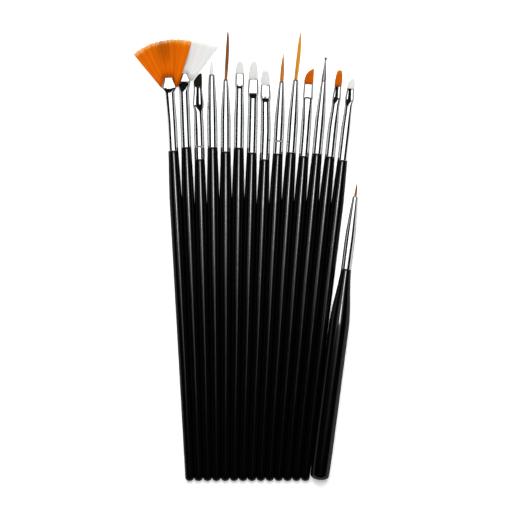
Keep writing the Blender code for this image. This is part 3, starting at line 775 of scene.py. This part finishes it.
class Nodes:
    """A short way to write a material's nodes."""

    def __init__(self, name):
        self.material = bpy.data.materials.new(name)
        self.material.use_nodes = True
        self.tree = self.material.node_tree
        self.shader = self.tree.nodes["Principled BSDF"]

    def add(self, kind, settings=None, **inputs):
        """A node with these settings; each input is a number or another node's output."""
        node = self.tree.nodes.new("ShaderNode" + kind)
        for name, value in (settings or {}).items():
            setattr(node, name, value)
        for name, value in inputs.items():
            self.join(value, node.inputs[name.replace("_", " ")])
        return node

    def join(self, value, socket):
        """Links another node's output to the socket, or sets it to a number or colour."""
        if isinstance(value, bpy.types.NodeSocket):
            self.tree.links.new(value, socket)
        else:
            socket.default_value = value

    def noise(self, stretch, scale, detail):
        """Noise in the object's own space, drawn out by the stretch."""
        place = self.add("TexCoord").outputs["Object"]
        mapped = self.add("Mapping", Vector=place, Scale=stretch).outputs["Vector"]
        noise = self.add("TexNoise", Vector=mapped, Scale=scale, Detail=detail, Roughness=0.55)
        return noise.outputs["Fac"]

    def ramp(self, factor, *stops):
        """A colour ramp over the factor. Its stops are (place, colour)."""
        node = self.add("ValToRGB", Fac=factor)
        elements = node.color_ramp.elements
        while len(elements) < len(stops):
            elements.new(0.5)
        for element, (place, colour) in zip(elements, stops):
            element.position = place
            element.color = (*colour, 1.0)
        return node.outputs["Color"]

    def span(self, factor, low, high):
        """A number from low to high as the factor goes from 0 to 1."""
        return self.add("MapRange", Value=factor, To_Min=low, To_Max=high).outputs["Result"]

    def bump(self, height, strength, distance):
        """Fine relief on the surface; the distance is in metres."""
        node = self.add("Bump", Height=height, Strength=strength, Distance=distance)
        self.join(node.outputs["Normal"], self.shader.inputs["Normal"])

    def set(self, **inputs):
        """The shader's own sockets, each a number, a colour or another node's output."""
        for name, value in inputs.items():
            self.join(value, self.shader.inputs[name.replace("_", " ")])
        return self.material


def grey(level):
    return (level, level, level)


def lacquer():
    """Black gloss over turned wood, whose grain still shows in the shine."""
    n = Nodes("black_lacquer")
    grain = n.noise((900.0, 900.0, 40.0), 1.0, 4.0)
    dust = n.noise((1.0, 1.0, 1.0), 2600.0, 2.0)
    colour = n.ramp(dust, (0.0, grey(0.0004)), (0.72, grey(0.0005)), (1.0, grey(0.003)))
    n.bump(grain, 0.025, 0.00004)
    return n.set(Base_Color=colour, Roughness=n.span(grain, 0.10, 0.16), Specular_IOR_Level=0.25)


def polished_metal():
    """Bright plate, with the faint draw lines of its tube and the cloud of handling."""
    n = Nodes("polished_ferrule")
    lines = n.noise((2600.0, 2600.0, 40.0), 1.0, 3.0)
    cloud = n.noise((1.0, 1.0, 0.35), 420.0, 3.0)
    colour = n.ramp(cloud, (0.25, (0.78, 0.79, 0.80)), (0.7, (0.86, 0.86, 0.865)))
    n.bump(lines, 0.03, 0.00003)
    return n.set(Base_Color=colour, Metallic=1.0, Roughness=n.span(cloud, 0.08, 0.15))


def steel():
    """Fine-ground grey steel."""
    n = Nodes("steel")
    lines = n.noise((3000.0, 3000.0, 3000.0), 1.0, 3.0)
    colour = n.ramp(lines, (0.3, grey(0.32)), (0.7, grey(0.44)))
    n.bump(lines, 0.08, 0.00002)
    return n.set(Base_Color=colour, Metallic=1.0, Roughness=n.span(lines, 0.12, 0.2))


# Each hair's colour at its root, its middle and its tip, and how dark its darkest hair is. The
# amber and white hairs' roots, darker than their middles, are painted shade at the ferrule's mouth.
HAIR_COLOURS = {
    "nylon_amber": ((0.58, 0.09, 0.0), (0.79, 0.155, 0.0), (0.84, 0.36, 0.0), 0.5),
    "nylon_bronze": ((0.60, 0.20, 0.015), (0.52, 0.17, 0.015), (0.24, 0.13, 0.06), 0.6),
    "nylon_gold": ((0.72, 0.29, 0.03), (0.72, 0.31, 0.02), (0.50, 0.20, 0.03), 0.6),
    "nylon_white": ((0.66, 0.65, 0.63), (0.70, 0.70, 0.69), (0.70, 0.70, 0.69), 0.88),
    "sable_brown": ((0.50, 0.22, 0.06), (0.26, 0.09, 0.02), (0.06, 0.03, 0.015), 0.5),
    "sable_dark": ((0.015, 0.011, 0.007), (0.022, 0.016, 0.010), (0.05, 0.035, 0.02), 0.5),
}


def hair(name, root, middle, tip, dark):
    """Hair whose colour runs from its root to its tip and differs from hair to hair."""
    n = Nodes(name)
    along = n.add("Attribute", {"attribute_name": "along"}).outputs["Fac"]
    tint = n.add("Attribute", {"attribute_name": "tint"}).outputs["Fac"]
    # A root darker than the middle is painted shade at the ferrule's mouth.
    colour = n.ramp(along, (0.0, root), (0.25, middle), (0.8, middle), (1.0, tip))
    # A low tint darkens a hair: at random from hair to hair, and as painted shade in the tufts' cores, the
    # fan's thick patch and the pressed tufts.
    shade = n.ramp(tint, (0.0, grey(dark)), (0.55, grey(0.5 + dark / 2.0)), (1.0, grey(1.0)))
    mixed = n.add("Mix", {"data_type": "RGBA", "blend_type": "MULTIPLY"})
    mixed.inputs["Factor"].default_value = 1.0
    colours = [socket for socket in mixed.inputs if socket.type == "RGBA"]
    n.join(colour, colours[0])
    n.join(shade, colours[1])
    result = [socket for socket in mixed.outputs if socket.type == "RGBA"][0]
    n.bump(n.noise((2500.0, 300.0, 2500.0), 1.0, 2.0), 0.15, 0.00003)
    return n.set(Base_Color=result, Roughness=0.55, Specular_IOR_Level=0.06)


def epoxy():
    """Amber glue with the hairs' butts in it."""
    n = Nodes("epoxy")
    butts = n.noise((1.0, 1.0, 1.0), 5200.0, 2.0)
    colour = n.ramp(butts, (0.35, (0.10, 0.05, 0.015)), (0.6, (0.45, 0.30, 0.12)))
    n.bump(butts, 0.3, 0.00005)
    return n.set(Base_Color=colour, Roughness=n.span(butts, 0.25, 0.5), Coat_Weight=0.5)


def make_materials():
    """All the materials, by their names."""
    materials = {
        "black_lacquer": lacquer(),
        "polished_ferrule": polished_metal(),
        "steel": steel(),
        "epoxy": epoxy(),
    }
    for name, (root, middle, tip, dark) in HAIR_COLOURS.items():
        materials[name] = hair(name, root, middle, tip, dark)
    return materials


# ---------------------------------------------------------------- stage, light and camera


def make_floor():
    """A wide pale table top, a hair's breadth under the brushes."""
    signs = ((-1.0, -1.0), (1.0, -1.0), (1.0, 1.0), (-1.0, 1.0))
    corners = [(x * FLOOR_HALF, y * FLOOR_HALF, 0.0) for x, y in signs]
    n = Nodes("table_top")
    n.set(Base_Color=(0.86, 0.86, 0.86, 1.0), Roughness=0.9, Specular_IOR_Level=0.0)
    n.set(Emission_Color=(1.0, 1.0, 1.0, 1.0), Emission_Strength=0.45)
    floor = make_piece("table_top", corners, [(0, 1, 2, 3)], n.material)
    floor.location.z = FLOOR_HEIGHT * MM
    floor.visible_glossy = False  # the metal mirrors the room's darker lower half instead


def make_world():
    """A studio: dark overhead, bright from below the horizon up, pale to the camera itself."""
    world = bpy.data.worlds.new("studio")
    bpy.context.scene.world = world
    world.use_nodes = True
    tree = world.node_tree
    place = tree.nodes.new("ShaderNodeTexCoord")
    split = tree.nodes.new("ShaderNodeSeparateXYZ")
    tree.links.new(place.outputs["Generated"], split.inputs[0])
    ramp = tree.nodes.new("ShaderNodeValToRGB")
    ramp.color_ramp.interpolation = "EASE"
    while len(ramp.color_ramp.elements) < len(ROOM):
        ramp.color_ramp.elements.new(0.5)
    for element, (spot, level) in zip(ramp.color_ramp.elements, ROOM):
        element.position = spot
        element.color = (*(level * share for share in ROOM_TINT), 1.0)
    height = tree.nodes.new("ShaderNodeMapRange")
    height.inputs["From Min"].default_value = -1.0
    tree.links.new(split.outputs["Z"], height.inputs["Value"])
    tree.links.new(height.outputs["Result"], ramp.inputs["Fac"])
    sky = tree.nodes["Background"]
    tree.links.new(ramp.outputs["Color"], sky.inputs["Color"])
    seen = tree.nodes.new("ShaderNodeBackground")
    seen.inputs["Color"].default_value = (0.93, 0.93, 0.93, 1.0)
    path = tree.nodes.new("ShaderNodeLightPath")
    mix = tree.nodes.new("ShaderNodeMixShader")
    tree.links.new(path.outputs["Is Camera Ray"], mix.inputs[0])
    tree.links.new(sky.outputs[0], mix.inputs[1])
    tree.links.new(seen.outputs[0], mix.inputs[2])
    tree.links.new(mix.outputs[0], tree.nodes["World Output"].inputs["Surface"])


def add_light(name, place, aim, size, watts):
    """A rectangular soft light that the camera doesn't see."""
    light = bpy.data.lights.new(name, "AREA")
    light.shape = "RECTANGLE"
    light.size, light.size_y = size
    light.energy = watts
    obj = bpy.data.objects.new(name, light)
    obj.location = place
    obj.rotation_euler = (Vector(aim) - Vector(place)).to_track_quat("-Z", "Y").to_euler()
    obj.visible_camera = False
    bpy.context.scene.collection.objects.link(obj)
    return obj


def add_panel(name, place, aim, size, radiance):
    """A light as bright as the radiance, whatever its size."""
    return add_light(name, place, aim, size, radiance * math.pi * size[0] * size[1])


def make_card(name, corners, level):
    """A flat card on the table that is seen only in reflections, as bright as the level."""
    n = Nodes(name)
    n.set(Base_Color=(0.0, 0.0, 0.0, 1.0), Specular_IOR_Level=0.0, Roughness=1.0)
    n.set(Emission_Color=(1.0, 1.0, 1.0, 1.0), Emission_Strength=level)
    card = make_piece(name, corners, [(0, 1, 2, 3)], n.material)
    card.location.z = CARD_HEIGHT * MM
    for seen_by in ("camera", "diffuse", "transmission", "shadow"):
        setattr(card, "visible_" + seen_by, False)


def make_cards(brush):
    """A dark card under the handle, where the brushes lie close and shade the table, and beside
    the set a bright one, which the outer side of its first or last ferrule mirrors."""

    def on_table(aside, height):
        point = brush.tail + (aside * brush.right + height * brush.along) * MM
        return (point[0], point[1], 0.0)

    low, high = -SHADE_PAST, brush.collar - 0.5
    half = SHADE_SHARE * brush.handle_rings()[1].max()
    corners = [on_table(-half, low), on_table(half, low), on_table(half, high), on_table(-half, high)]
    make_card("shade_" + brush.name, corners, 0.0)
    if brush.name in OUTER:
        far = OUTER[brush.name] * SHINE_WIDTH
        corners = [on_table(0.0, high), on_table(0.0, brush.mouth)]
        corners += [on_table(far, brush.mouth), on_table(far, high)]
        make_card("shine_" + brush.name, corners, SHINE_LEVEL)


def make_lights():
    """A key light beyond the tufts and a fill above, which the metal doesn't mirror; a low panel at
    each corner of the room, for the views from a side; a wide panel over the ferrules, which fills
    the middle of each tube with light; and, for the handles alone, a narrow strip in pieces, which
    draws the thin shine down them and fades towards their tails."""
    key = add_light("key_light", (0.0, 0.95, 0.85), (0.0, 0.0, 0.0), (1.1, 0.7), KEY_WATTS)
    key.visible_glossy = False
    over = (0.0, OVER_FERRULES, 0.0)
    fill = add_light("fill_light", (0.0, OVER_FERRULES, 0.45), over, (0.2, 0.2), FILL_WATTS)
    fill.visible_glossy = False
    add_panel("wide_panel", (0.0, OVER_FERRULES, 0.42), over, WIDE_PANEL, WIDE_RADIANCE)
    for side in (-1.0, 1.0):
        for end in (-1.0, 1.0):
            name = "corner_panel_%d" % (side + 2.0 * end)
            place = (side * CORNER[0], end * CORNER[1], CORNER[2])
            add_panel(name, place, (0.0, 0.0, 0.05), CORNER_PANEL, CORNER_RADIANCE)
    lacquered = bpy.data.collections.new("lacquered")
    for obj in bpy.data.objects:
        if obj.name.endswith("_lacquered"):
            lacquered.objects.link(obj)
    for aside, low, high, radiance in STRIP_LIGHT:
        middle, size = (low + high) / 2.0, (STRIP_WIDTH, high - low)
        place = (aside, middle, STRIP_HEIGHT)
        strip = add_panel("strip_%d" % radiance, place, (aside, middle, 0.0), size, radiance)
        strip.light_linking.receiver_collection = lacquered


def make_camera():
    """Straight above, on a long lens, framed as wide as the set is laid out."""
    camera = bpy.data.cameras.new("camera")
    camera.lens, camera.sensor_width = LENS, SENSOR
    obj = bpy.data.objects.new("camera", camera)
    low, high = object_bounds()
    width = (high.y - low.y) * VIEW_SHARE
    height = width / 2.0 * camera.lens / (camera.sensor_width / 2.0)
    obj.location = (VIEW_ASIDE[0], VIEW_ASIDE[1], height)
    camera.clip_end = 50.0
    bpy.context.scene.collection.objects.link(obj)
    bpy.context.scene.camera = obj


# ---------------------------------------------------------------- the scene


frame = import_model()
PAINT = make_materials()
make_camera()

brushes = [Brush(name) for name in STYLES]
for index, one in enumerate(brushes):
    make_handle(one)
    make_ferrule(one)
    make_knot(one)
    if one.kind == "ball":
        make_stylus(one)
    else:
        make_tuft(one, FIRST_SEED + index)

make_floor()
for one in brushes:
    make_cards(one)
make_world()
make_lights()
bpy.context.scene.view_settings.view_transform = "Standard"
